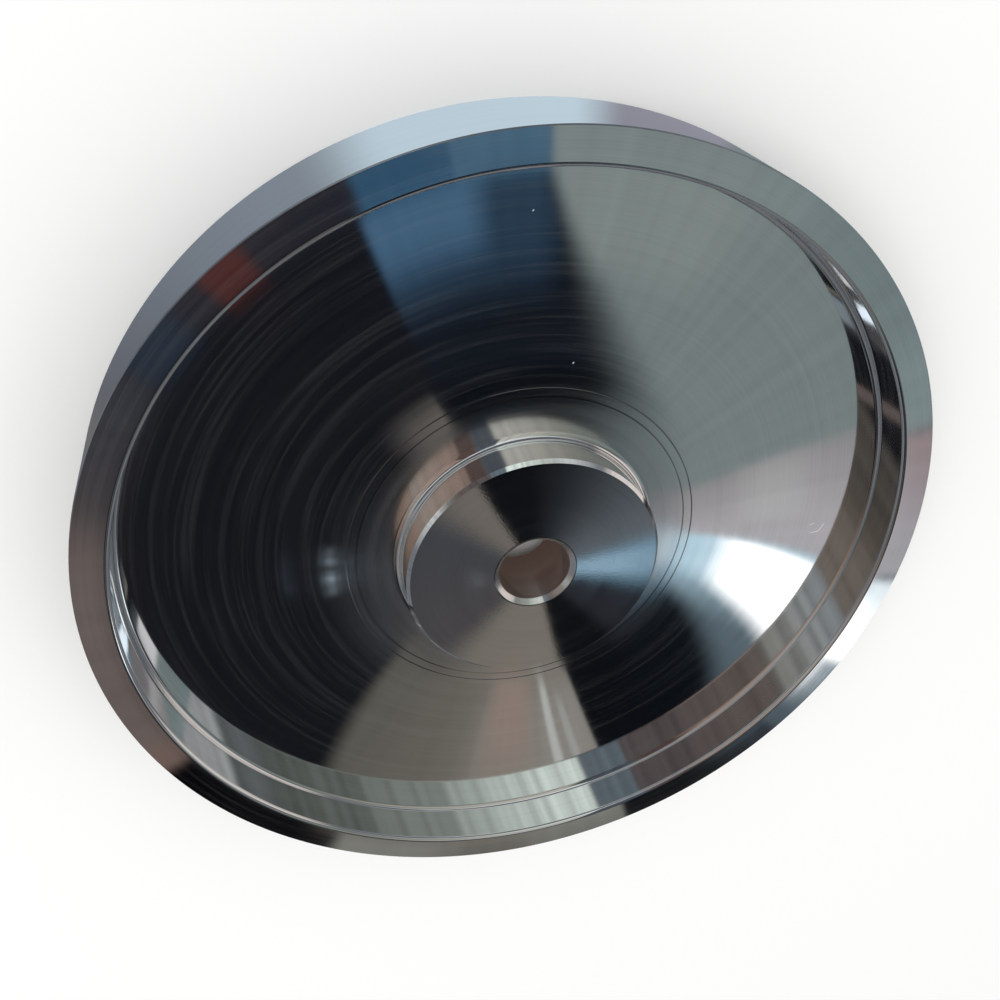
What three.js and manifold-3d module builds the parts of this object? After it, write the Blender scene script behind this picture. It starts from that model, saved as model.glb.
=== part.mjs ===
// Banding wheel: a turned steel wheel on a deep-groove ball bearing round a hollow spindle sleeve.
// Millimetres, +Z up. The spin axis is Z, the flat working face lies at z = 0 and the recessed
// side with the raised hub faces +Z.
import * as THREE from 'three';
import { mergeVertices } from 'three/addons/utils/BufferGeometryUtils.js';
import Module from 'manifold-3d';

const wasm = await Module();
wasm.setup();

// ---- wheel ----
const WHEEL_R = 100;            // outer radius
const WHEEL_H = 22.5;           // working face to rim face
const WALL_R = 92.4;            // inner wall of the rim
const RIM_INNER_ROUND = 1.0;    // rounded edge between the rim face and the inner wall
const RIM_OUTER_CHAMFER = 0.25;
const WALL_FILLET = 1.0;        // where the wall meets the web
const WEB_TOP = 11.7;           // web surface inside the recess
const SEAT_R = 95.8;            // stepped edge of the web disc inside the rim ring
const SEAT_H = 6.0;
const FIT_GAP = 0.05;           // drawn gap of the shrunk and pressed fits
const GROOVE_RADII = [30, 50, 70, 90];  // centring grooves on the working face
const GROOVE_HALF_W = 0.45;
const GROOVE_DEPTH = 0.35;

// ---- hub ----
const FLANGE_R = 40.5;          // flange let flush into the web
const FLANGE_BOTTOM = 6.0;
const SPIGOT_R = 27.5;
const BOSS_R = 30.3;
const BOSS_TOP = 21.8;
const BOSS_CHAMFER = 0.8;
const BOSS_FILLET = 1.7;
const NOSE_HOLE_R = 9.95;       // running clearance round the sleeve's nose
const LIP_BOTTOM = 18.6;
const RELIEF_R = 14.2;          // room for the sleeve's retaining ring
const POCKET_CHAMFER = 1.0;

// ---- bearing: 20 x 37 x 9 thin-section deep-groove ----
const BRG_BORE_R = 10;
const BRG_OUTER_R = 18.5;
const BRG_W = 9;
const BRG_BOTTOM = 7.3;
const BRG_TOP = BRG_BOTTOM + BRG_W;
const BRG_MID = BRG_BOTTOM + BRG_W / 2;
const PITCH_R = 14.25;
const BALL_R = 2.5;
const BALL_COUNT = 10;
const RACE_R = 2.62;            // groove radius, a little over the ball's
const RACE_GAP_OUTER = 0.1;
const RACE_GAP_INNER = 0.06;
const INNER_SHOULDER_R = 12.6;
const OUTER_SHOULDER_R = 16.0;
const SHIELD_SEAT_R = 16.4;
const SHIELD_SEAT_W = 0.8;
const SHIELD_T = 0.4;
const SHIELD_INSET = 0.25;
const SHIELD_INNER_R = 12.85;
const CAGE_INNER_R = 13.3;
const CAGE_OUTER_R = 15.2;
const CAGE_W = 6.3;
const CAGE_POCKET_R = 2.65;

// ---- spindle sleeve ----
const SLEEVE_BORE_R = 8.57;
const SLEEVE_BOTTOM = 3.4;
const SLEEVE_MOUTH_CHAMFER = 1.1;
const SLEEVE_FOOT_CHAMFER = 0.5;
const SLEEVE_FLANGE_R = 11.8;
const SLEEVE_GROOVE_R = 9.5;
const SLEEVE_NOSE_R = 9.75;     // turned down where it passes the hub's lip
const SLEEVE_NOSE_BOTTOM = 18.4;

// ---- retaining rings ----
const CLIP_SLOT_CLEARANCE = 0.05;
const SLEEVE_CLIP = { inner: 9.62, outer: 11.5, t: 1.2, gapHalf: 14, earR: 1.6, earAt: 11.3, holeR: 0.75 };
const BORE_CLIP = { inner: 17.1, outer: 19.3, t: 1.5, gapHalf: 9, earR: 1.8, earAt: 16.3, holeR: 0.9 };
const BORE_GROOVE_R = 19.5;
const CLIP_ARC_STEPS = 36;

// ---- facets ----
const WHEEL_FACETS = 72;
const BEARING_FACETS = 48;
const ARC_DIVISIONS = 2;        // a fillet becomes twice this many chords
const RACE_DIVISIONS = 3;

const turnedSteel = new THREE.MeshStandardMaterial({ color: 0xb4b6b5, roughness: 0.16, metalness: 1 });
const sleeveSteel = new THREE.MeshStandardMaterial({ color: 0xbabbb8, roughness: 0.22, metalness: 1 });
const bearingSteel = new THREE.MeshStandardMaterial({ color: 0xa9adb0, roughness: 0.12, metalness: 1 });
const cageBrass = new THREE.MeshStandardMaterial({ color: 0xb8924a, roughness: 0.35, metalness: 1 });
const springSteel = new THREE.MeshStandardMaterial({ color: 0x3c3f42, roughness: 0.45, metalness: 0.9 });

const wheel = new THREE.Group();
const ballCage = new THREE.Group();
const sleeveGroup = new THREE.Group();

// A closed (radius, height) outline turned about Z.
function turned(outline, facets, arcDivisions = ARC_DIVISIONS) {
  const points = outline.getPoints(arcDivisions);
  points.push(points[0].clone());
  if (THREE.ShapeUtils.area(points) < 0) points.reverse();
  return new THREE.LatheGeometry(points, facets).rotateX(Math.PI / 2);
}

function outlineOf(corners) {
  const path = new THREE.Path();
  path.moveTo(...corners[0]);
  for (const corner of corners.slice(1)) path.lineTo(...corner);
  return path;
}

function add(group, name, geometry, material) {
  const mesh = new THREE.Mesh(geometry, material);
  mesh.name = name;
  group.add(mesh);
  return mesh;
}

function toSolid(geometry) {
  const bare = geometry.index ? geometry.clone() : geometry;
  bare.deleteAttribute('normal');
  bare.deleteAttribute('uv');
  const merged = mergeVertices(bare, 1e-5);
  return new wasm.Manifold(new wasm.Mesh({
    numProp: 3,
    vertProperties: new Float32Array(merged.attributes.position.array),
    triVerts: new Uint32Array(merged.index.array),
  }));
}

function toGeometry(solid) {
  const mesh = solid.getMesh();
  const geometry = new THREE.BufferGeometry();
  geometry.setAttribute('position', new THREE.BufferAttribute(mesh.vertProperties, 3));
  geometry.setIndex(new THREE.BufferAttribute(mesh.triVerts, 1));
  return geometry;
}

// ---- rim ring: flat rim face, broken edges, cylindrical walls, stepped seat for the web disc ----
const rim = new THREE.Path();
rim.moveTo(SEAT_R, 0);
rim.lineTo(WHEEL_R - RIM_OUTER_CHAMFER, 0);
rim.lineTo(WHEEL_R, RIM_OUTER_CHAMFER);
rim.lineTo(WHEEL_R, WHEEL_H - RIM_OUTER_CHAMFER);
rim.lineTo(WHEEL_R - RIM_OUTER_CHAMFER, WHEEL_H);
rim.lineTo(WALL_R + RIM_INNER_ROUND, WHEEL_H);
rim.absarc(WALL_R + RIM_INNER_ROUND, WHEEL_H - RIM_INNER_ROUND, RIM_INNER_ROUND, Math.PI / 2, Math.PI, false);
rim.lineTo(WALL_R, WEB_TOP + WALL_FILLET);
rim.absarc(WALL_R - WALL_FILLET, WEB_TOP + WALL_FILLET, WALL_FILLET, 0, -Math.PI / 2, true);
rim.lineTo(WALL_R - WALL_FILLET, SEAT_H);
rim.lineTo(SEAT_R, SEAT_H);
add(wheel, 'rim_ring', turned(rim, WHEEL_FACETS), turnedSteel);

// ---- web disc: flat both sides, counterbored for the hub flange, grooved on the working face ----
const disc = new THREE.Path();
disc.moveTo(SPIGOT_R + FIT_GAP, 0);
for (const radius of GROOVE_RADII) {
  disc.lineTo(radius - GROOVE_HALF_W, 0);
  disc.lineTo(radius, GROOVE_DEPTH);
  disc.lineTo(radius + GROOVE_HALF_W, 0);
}
disc.lineTo(SEAT_R - FIT_GAP, 0);
disc.lineTo(SEAT_R - FIT_GAP, SEAT_H - FIT_GAP);
disc.lineTo(WALL_R - WALL_FILLET - FIT_GAP, SEAT_H - FIT_GAP);
disc.lineTo(WALL_R - WALL_FILLET - FIT_GAP, WEB_TOP);
disc.lineTo(FLANGE_R + FIT_GAP, WEB_TOP);
disc.lineTo(FLANGE_R + FIT_GAP, FLANGE_BOTTOM - FIT_GAP);
disc.lineTo(SPIGOT_R + FIT_GAP, FLANGE_BOTTOM - FIT_GAP);
add(wheel, 'web_disc', turned(disc, WHEEL_FACETS), turnedSteel);

// ---- hub: boss, flange and spigot, with the bearing pocket open to the working face ----
const pocketR = BRG_OUTER_R + FIT_GAP;
const boreClipTop = BRG_BOTTOM - CLIP_SLOT_CLEARANCE;
const boreClipBottom = boreClipTop - BORE_CLIP.t;
const hub = new THREE.Path();
hub.moveTo(pocketR + POCKET_CHAMFER, 0);
hub.lineTo(SPIGOT_R, 0);
hub.lineTo(SPIGOT_R, FLANGE_BOTTOM);
hub.lineTo(FLANGE_R, FLANGE_BOTTOM);
hub.lineTo(FLANGE_R, WEB_TOP);
hub.lineTo(BOSS_R + BOSS_FILLET, WEB_TOP);
hub.absarc(BOSS_R + BOSS_FILLET, WEB_TOP + BOSS_FILLET, BOSS_FILLET, -Math.PI / 2, -Math.PI, true);
hub.lineTo(BOSS_R, BOSS_TOP - BOSS_CHAMFER);
hub.lineTo(BOSS_R - BOSS_CHAMFER, BOSS_TOP);
hub.lineTo(NOSE_HOLE_R, BOSS_TOP);
hub.lineTo(NOSE_HOLE_R, LIP_BOTTOM);
hub.lineTo(RELIEF_R, LIP_BOTTOM);
hub.lineTo(RELIEF_R, BRG_TOP + FIT_GAP);
hub.lineTo(pocketR, BRG_TOP + FIT_GAP);
hub.lineTo(pocketR, BRG_BOTTOM);
hub.lineTo(BORE_GROOVE_R, BRG_BOTTOM);
hub.lineTo(BORE_GROOVE_R, boreClipBottom - CLIP_SLOT_CLEARANCE);
hub.lineTo(pocketR, boreClipBottom - CLIP_SLOT_CLEARANCE);
hub.lineTo(pocketR, POCKET_CHAMFER);
add(wheel, 'hub', turned(hub, WHEEL_FACETS), turnedSteel);

// ---- bearing rings, each with a raceway groove facing the balls ----
const outerRaceCentre = PITCH_R + BALL_R + RACE_GAP_OUTER - RACE_R;
const outerRaceHalf = Math.sqrt(RACE_R ** 2 - (OUTER_SHOULDER_R - outerRaceCentre) ** 2);
const outerRaceAngle = Math.asin(outerRaceHalf / RACE_R);
const outerRing = new THREE.Path();
outerRing.moveTo(SHIELD_SEAT_R, BRG_BOTTOM);
outerRing.lineTo(BRG_OUTER_R, BRG_BOTTOM);
outerRing.lineTo(BRG_OUTER_R, BRG_TOP);
outerRing.lineTo(SHIELD_SEAT_R, BRG_TOP);
outerRing.lineTo(SHIELD_SEAT_R, BRG_TOP - SHIELD_SEAT_W);
outerRing.lineTo(OUTER_SHOULDER_R, BRG_TOP - SHIELD_SEAT_W);
outerRing.lineTo(OUTER_SHOULDER_R, BRG_MID + outerRaceHalf);
outerRing.absarc(outerRaceCentre, BRG_MID, RACE_R, outerRaceAngle, -outerRaceAngle, true);
outerRing.lineTo(OUTER_SHOULDER_R, BRG_BOTTOM + SHIELD_SEAT_W);
outerRing.lineTo(SHIELD_SEAT_R, BRG_BOTTOM + SHIELD_SEAT_W);
add(wheel, 'bearing_outer_ring', turned(outerRing, BEARING_FACETS, RACE_DIVISIONS), bearingSteel);

const innerRaceCentre = PITCH_R - BALL_R - RACE_GAP_INNER + RACE_R;
const innerRaceHalf = Math.sqrt(RACE_R ** 2 - (innerRaceCentre - INNER_SHOULDER_R) ** 2);
const innerRaceAngle = Math.asin(innerRaceHalf / RACE_R);
const innerRing = new THREE.Path();
innerRing.moveTo(BRG_BORE_R + FIT_GAP, BRG_BOTTOM);
innerRing.lineTo(INNER_SHOULDER_R, BRG_BOTTOM);
innerRing.lineTo(INNER_SHOULDER_R, BRG_MID - innerRaceHalf);
innerRing.absarc(innerRaceCentre, BRG_MID, RACE_R, Math.PI + innerRaceAngle, Math.PI - innerRaceAngle, true);
innerRing.lineTo(INNER_SHOULDER_R, BRG_TOP);
innerRing.lineTo(BRG_BORE_R + FIT_GAP, BRG_TOP);
add(sleeveGroup, 'bearing_inner_ring', turned(innerRing, BEARING_FACETS, RACE_DIVISIONS), bearingSteel);

function shield(name, bottom) {
  const outline = outlineOf([
    [SHIELD_INNER_R, bottom],
    [SHIELD_SEAT_R - FIT_GAP, bottom],
    [SHIELD_SEAT_R - FIT_GAP, bottom + SHIELD_T],
    [SHIELD_INNER_R, bottom + SHIELD_T],
  ]);
  add(wheel, name, turned(outline, BEARING_FACETS), bearingSteel);
}
shield('bearing_shield_lower', BRG_BOTTOM + SHIELD_INSET);
shield('bearing_shield_upper', BRG_TOP - SHIELD_INSET - SHIELD_T);

// ---- balls and the cage that spaces them ----
const cageOutline = outlineOf([
  [CAGE_INNER_R, BRG_MID - CAGE_W / 2],
  [CAGE_OUTER_R, BRG_MID - CAGE_W / 2],
  [CAGE_OUTER_R, BRG_MID + CAGE_W / 2],
  [CAGE_INNER_R, BRG_MID + CAGE_W / 2],
]);
let cage = toSolid(turned(cageOutline, BEARING_FACETS));
for (let i = 0; i < BALL_COUNT; i++) {
  const angle = (2 * Math.PI * i) / BALL_COUNT;
  const window = new THREE.CylinderGeometry(CAGE_POCKET_R, CAGE_POCKET_R, 3 * (CAGE_OUTER_R - CAGE_INNER_R), 16);
  window.rotateZ(Math.PI / 2).translate(PITCH_R, 0, BRG_MID).rotateZ(angle);
  cage = cage.subtract(toSolid(window));
  const ball = new THREE.IcosahedronGeometry(BALL_R, 2);
  const name = `bearing_ball_${String(i + 1).padStart(2, '0')}`;
  const mesh = add(ballCage, name, ball, bearingSteel);
  mesh.position.set(PITCH_R * Math.cos(angle), PITCH_R * Math.sin(angle), BRG_MID);
}
add(ballCage, 'bearing_cage', toGeometry(cage), cageBrass);

// ---- spindle sleeve: through bore, flange under the bearing, groove for its retaining ring ----
const sleeveClipBottom = BRG_TOP + CLIP_SLOT_CLEARANCE;
const sleeveGrooveTop = sleeveClipBottom + SLEEVE_CLIP.t + CLIP_SLOT_CLEARANCE;
const sleeve = outlineOf([
  [SLEEVE_BORE_R + SLEEVE_FOOT_CHAMFER, SLEEVE_BOTTOM],
  [SLEEVE_FLANGE_R - SLEEVE_FOOT_CHAMFER, SLEEVE_BOTTOM],
  [SLEEVE_FLANGE_R, SLEEVE_BOTTOM + SLEEVE_FOOT_CHAMFER],
  [SLEEVE_FLANGE_R, BRG_BOTTOM - FIT_GAP],
  [BRG_BORE_R, BRG_BOTTOM - FIT_GAP],
  [BRG_BORE_R, BRG_TOP],
  [SLEEVE_GROOVE_R, BRG_TOP],
  [SLEEVE_GROOVE_R, sleeveGrooveTop],
  [BRG_BORE_R, sleeveGrooveTop],
  [BRG_BORE_R, SLEEVE_NOSE_BOTTOM],
  [SLEEVE_NOSE_R, SLEEVE_NOSE_BOTTOM],
  [SLEEVE_NOSE_R, BOSS_TOP],
  [SLEEVE_BORE_R + SLEEVE_MOUTH_CHAMFER, BOSS_TOP],
  [SLEEVE_BORE_R, BOSS_TOP - SLEEVE_MOUTH_CHAMFER],
  [SLEEVE_BORE_R, SLEEVE_BOTTOM + SLEEVE_FOOT_CHAMFER],
]);
add(sleeveGroup, 'spindle_sleeve', turned(sleeve, BEARING_FACETS), sleeveSteel);

// ---- open retaining rings with a pair of plier ears ----
function retainingRing(clip, bottom) {
  const gap = THREE.MathUtils.degToRad(clip.gapHalf);
  const arc = new THREE.Shape();
  arc.absarc(0, 0, clip.outer, gap, 2 * Math.PI - gap, false);
  arc.absarc(0, 0, clip.inner, 2 * Math.PI - gap, gap, true);
  const options = { depth: clip.t, bevelEnabled: false, curveSegments: CLIP_ARC_STEPS / 2 };
  let solid = toSolid(new THREE.ExtrudeGeometry(arc, options));
  const earAngle = gap + clip.earR / clip.earAt;
  for (const angle of [earAngle, -earAngle]) {
    const at = [clip.earAt * Math.cos(angle), clip.earAt * Math.sin(angle), clip.t / 2];
    const ear = new THREE.CylinderGeometry(clip.earR, clip.earR, clip.t, 16).rotateX(Math.PI / 2);
    const hole = new THREE.CylinderGeometry(clip.holeR, clip.holeR, 3 * clip.t, 10).rotateX(Math.PI / 2);
    solid = solid.add(toSolid(ear.translate(...at))).subtract(toSolid(hole.translate(...at)));
  }
  return toGeometry(solid).translate(0, 0, bottom);
}
add(sleeveGroup, 'sleeve_circlip', retainingRing(SLEEVE_CLIP, sleeveClipBottom), springSteel);
add(wheel, 'bore_circlip', retainingRing(BORE_CLIP, boreClipBottom), springSteel);

const bandingWheel = new THREE.Group();
bandingWheel.name = 'banding_wheel';
bandingWheel.add(wheel, ballCage, sleeveGroup);

export default bandingWheel;
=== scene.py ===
import math
import bmesh
import bpy
from mathutils import Matrix, Vector


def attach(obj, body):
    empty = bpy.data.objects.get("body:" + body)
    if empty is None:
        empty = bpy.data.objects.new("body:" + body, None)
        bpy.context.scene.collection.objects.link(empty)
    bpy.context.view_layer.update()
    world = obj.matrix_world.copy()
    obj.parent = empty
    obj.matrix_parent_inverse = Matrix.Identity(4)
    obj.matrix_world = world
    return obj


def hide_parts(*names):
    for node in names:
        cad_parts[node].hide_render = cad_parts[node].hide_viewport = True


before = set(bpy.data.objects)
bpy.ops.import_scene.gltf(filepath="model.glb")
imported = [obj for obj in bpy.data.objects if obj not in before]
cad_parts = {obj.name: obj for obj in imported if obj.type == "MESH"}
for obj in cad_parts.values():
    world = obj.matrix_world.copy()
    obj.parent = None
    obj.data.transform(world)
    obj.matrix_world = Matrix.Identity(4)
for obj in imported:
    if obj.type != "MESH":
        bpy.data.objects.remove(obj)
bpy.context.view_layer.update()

MM = 0.001
TAU = 2 * math.pi

# ---------------------------------------------------------------- sizes, mm
WHEEL_R = 100.0
WHEEL_H = 22.5
WALL_R = 92.4
RIM_INNER_ROUND = 1.0
RIM_OUTER_CHAMFER = 0.25
WALL_FILLET = 1.0
WEB_TOP = 11.7
SEAT_R = 95.8
SEAT_H = 6.0
FIT_GAP = 0.05
GROOVE_RADII = (30, 50, 70, 90)
GROOVE_HALF_W = 0.45
GROOVE_DEPTH = 0.35
WITNESS_R = 42.7            # a fine tool mark turned into the web outside the hub flange
WITNESS_HALF_W = 0.09
WITNESS_DEPTH = 0.02

FLANGE_R = 40.5
FLANGE_BOTTOM = 6.0
SPIGOT_R = 27.5
BOSS_R = 30.3
BOSS_TOP = 21.8
BOSS_CHAMFER = 0.8
BOSS_FILLET = 1.7
NOSE_HOLE_R = 9.95
LIP_BOTTOM = 18.6
RELIEF_R = 14.2
POCKET_CHAMFER = 1.0
BORE_GROOVE_R = 19.5

BRG_BORE_R = 10.0
BRG_OUTER_R = 18.5
BRG_BOTTOM = 7.3
BRG_TOP = 16.3
BRG_MID = 0.5 * (BRG_BOTTOM + BRG_TOP)
PITCH_R = 14.25
BALL_R = 2.5
BALL_COUNT = 10
RACE_R = 2.62
RACE_GAP_OUTER = 0.1
RACE_GAP_INNER = 0.06
INNER_SHOULDER_R = 12.6
OUTER_SHOULDER_R = 16.0
SHIELD_SEAT_R = 16.4
SHIELD_SEAT_W = 0.8
SHIELD_T = 0.4
SHIELD_INSET = 0.25
SHIELD_INNER_R = 12.85

SLEEVE_BORE_R = 8.57
SLEEVE_BOTTOM = 3.4
SLEEVE_MOUTH_CHAMFER = 1.1
SLEEVE_FOOT_CHAMFER = 0.5
SLEEVE_FLANGE_R = 11.8
SLEEVE_GROOVE_R = 9.5
SLEEVE_NOSE_R = 9.75
SLEEVE_NOSE_BOTTOM = 18.4
SLEEVE_CLIP_BOTTOM = 16.35
SLEEVE_CLIP_T = 1.2
BORE_CLIP_BOTTOM = 5.75

CLIP_EDGE = 0.08            # bevel on the pieces that keep their CAD mesh
CLIP_EDGE_ANGLE = 40

WHEEL_STEPS = 360
BEARING_STEPS = 192
SHARP_ANGLE = math.radians(22)


# ---------------------------------------------------------------- mesh helpers
LEAD = 0.03     # straight run before and after a rounded corner, which keeps its neighbours flat


def arc(cx, cz, r, start, end, steps=8, lead_in=LEAD, lead_out=LEAD):
    """Points of a rounded corner in a (radius, height) outline, in mm, angles in degrees."""
    def at(degrees, along=0.0):
        c, s = math.cos(math.radians(degrees)), math.sin(math.radians(degrees))
        sense = math.copysign(1.0, end - start)
        return (cx + r * c - along * sense * s, cz + r * s + along * sense * c)
    points = [at(start + (end - start) * i / steps) for i in range(steps + 1)]
    before = [at(start, -lead_in)] if lead_in else []
    after = [at(end, lead_out)] if lead_out else []
    return before + points + after


def finish_mesh(name, bm):
    bmesh.ops.remove_doubles(bm, verts=bm.verts, dist=1e-7)
    bmesh.ops.recalc_face_normals(bm, faces=bm.faces)
    mesh = bpy.data.meshes.new(name)
    bm.to_mesh(mesh)
    bm.free()
    for polygon in mesh.polygons:
        polygon.use_smooth = True
    mesh.set_sharp_from_angle(angle=SHARP_ANGLE)
    obj = bpy.data.objects.new(name, mesh)
    bpy.context.scene.collection.objects.link(obj)
    return obj


def lathe(name, outline, steps):
    """A closed (radius, height) outline in mm, turned about Z."""
    bm = bmesh.new()
    rings = []
    for i in range(steps):
        c, s = math.cos(TAU * i / steps), math.sin(TAU * i / steps)
        rings.append([bm.verts.new((r * c * MM, r * s * MM, z * MM)) for r, z in outline])
    count = len(outline)
    for i in range(steps):
        near, far = rings[i], rings[(i + 1) % steps]
        for j in range(count):
            k = (j + 1) % count
            bm.faces.new((near[j], far[j], far[k], near[k]))
    return finish_mesh(name, bm)


def place(obj, material, slot, body, *nodes):
    obj.data.materials.clear()
    obj.data.materials.append(material)
    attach(obj, body)
    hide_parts(*nodes)


# ---------------------------------------------------------------- node helpers
class Tree:
    """Short calls for building a node tree."""

    def __init__(self, tree):
        self.tree = tree

    def node(self, kind, **props):
        n = self.tree.nodes.new(kind)
        for key, value in props.items():
            setattr(n, key, value)
        return n

    def put(self, value, socket):
        if isinstance(value, bpy.types.NodeSocket):
            self.tree.links.new(value, socket)
        elif value is not None:
            socket.default_value = value

    def math(self, op, a, b=None, c=None, clamp=False):
        n = self.node("ShaderNodeMath", operation=op, use_clamp=clamp)
        for socket, value in zip(n.inputs, (a, b, c)):
            self.put(value, socket)
        return n.outputs[0]

    def smooth(self, value, low, high):
        """0 below low, 1 above high, eased between; low may be above high."""
        n = self.node("ShaderNodeMapRange", interpolation_type="SMOOTHSTEP")
        flip = not isinstance(low, bpy.types.NodeSocket) and low > high
        lo, hi = (high, low) if flip else (low, high)
        self.put(value, n.inputs["Value"])
        n.inputs["From Min"].default_value = lo
        n.inputs["From Max"].default_value = hi
        n.inputs["To Min"].default_value = 1.0 if flip else 0.0
        n.inputs["To Max"].default_value = 0.0 if flip else 1.0
        return n.outputs["Result"]

    def spread(self, noise, amount, around, clamp=False):
        """Noise of 0 to 1 as a variation of this amount around a value."""
        return self.math("MULTIPLY_ADD", self.math("SUBTRACT", noise, 0.5), amount, around, clamp=clamp)

    def length(self, x, y):
        return self.math("SQRT", self.math("ADD", self.math("MULTIPLY", x, x), self.math("MULTIPLY", y, y)))

    def mix(self, fac, a, b):
        n = self.node("ShaderNodeMix", data_type="RGBA", blend_type="MIX")
        self.put(fac, n.inputs["Factor"])
        self.put(a, n.inputs["A"])
        self.put(b, n.inputs["B"])
        return next(o for o in n.outputs if o.type == "RGBA")

    def tint(self, color, factor):
        n = self.node("ShaderNodeMix", data_type="RGBA", blend_type="MULTIPLY")
        n.inputs["Factor"].default_value = 1.0
        self.put(color, n.inputs["A"])
        gray = self.node("ShaderNodeCombineColor")
        for socket in gray.inputs:
            self.put(factor, socket)
        self.put(gray.outputs[0], n.inputs["B"])
        return next(o for o in n.outputs if o.type == "RGBA")

    def noise(self, vector, scale, detail=2.0, roughness=0.5, w=None):
        n = self.node("ShaderNodeTexNoise", noise_dimensions="3D" if w is None else "4D")
        self.put(vector, n.inputs["Vector"])
        n.inputs["Scale"].default_value = scale
        n.inputs["Detail"].default_value = detail
        n.inputs["Roughness"].default_value = roughness
        if w is not None:
            self.put(w, n.inputs["W"])
        return n.outputs["Fac"]


def srgb(r, g, b, gain=1.0):
    """A colour given as 0 to 255 screen values, as linear light."""
    def lin(v):
        v /= 255.0
        return v / 12.92 if v <= 0.04045 else ((v + 0.055) / 1.055) ** 2.4
    return (lin(r) * gain, lin(g) * gain, lin(b) * gain, 1.0)


# ---------------------------------------------------------------- camera
CAMERA_AT = Vector((-0.0507, 0.1418, 0.1946))
CAMERA_ELEVATION = 53.62        # how far it looks down
CAMERA_HEADING = -70.69         # azimuth of its line of sight
CAMERA_ROLL = -156.5
CAMERA_LENS = 35.4


def add_camera():
    data = bpy.data.cameras.new("camera")
    data.lens = CAMERA_LENS
    data.sensor_width = 36.0
    data.clip_start = 0.005
    camera = bpy.data.objects.new("camera", data)
    bpy.context.scene.collection.objects.link(camera)
    elevation, heading = math.radians(CAMERA_ELEVATION), math.radians(CAMERA_HEADING)
    forward = Vector((math.cos(elevation) * math.cos(heading), math.cos(elevation) * math.sin(heading),
                      -math.sin(elevation)))
    level = forward.cross(Vector((0, 0, 1))).normalized()
    upright = level.cross(forward)
    turn = Matrix.Rotation(math.radians(CAMERA_ROLL), 3, forward)
    right, up = turn @ level, turn @ upright
    rotation = Matrix((right, up, -forward)).transposed().to_4x4()
    camera.matrix_world = Matrix.Translation(CAMERA_AT) @ rotation
    bpy.context.scene.camera = camera


# ---------------------------------------------------------------- surroundings
# The polished steel shows the room it stands in. The room is painted on the sky as seen in the
# web, taken as a flat mirror: a direction is turned into the spot of the web's plane where the
# camera sees it, in wheel radii, so that a card of light keeps to one sector of the turned face.
METAL_F0 = 0.80
MIRROR_H = (CAMERA_AT.z - WEB_TOP * MM) / (WHEEL_R * MM)
MIRROR_X = CAMERA_AT.x / (WHEEL_R * MM)
MIRROR_Y = CAMERA_AT.y / (WHEEL_R * MM)


def plane_scale(height):
    """How much larger a circle at this height, in mm, appears when carried to the web's plane."""
    return MIRROR_H / ((CAMERA_AT.z - height * MM) / (WHEEL_R * MM))


# left and right edge in degrees, colour at each edge, softness of each edge, and how the edges
# swing per wheel radius outwards from SWING_FROM, inner limit and outer limit as (radius, softness),
# which side of the room's corner it is on, and how many grains to a wheel radius break it up
def card(left, right, color_a, color_b=None, soft=(2, 2), swing=(0, 0), inner=None, outer=None,
         gain=1.0, side=0, grain=0):
    return dict(left=left, right=right, a=color_a, b=color_b or color_a, soft=soft, swing=swing,
                inner=inner, outer=outer, gain=gain, side=side, grain=grain)


WHITE = (255, 255, 255)
# straight corner of the room across the web: a point on it and its direction, in wheel radii
CORNER_AT = (0.07, 0.797)
CORNER_ALONG = (0.187, -0.491)
CORNER_SOFT = 0.03
CORNER_SPREAD = 0.25        # how much softer it gets per wheel radius inwards from CORNER_SHARP_AT
CORNER_SHARP_AT = 0.8
CORNER_REACH = 0.445        # nearer the hub than this it runs straight to the middle
GRAINS_TO_A_DEGREE = 0.25
GRAIN_CONTRAST = (0.42, 0.68)
SWING_FROM = 0.6            # radius at which a card has the edges it is given

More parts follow.
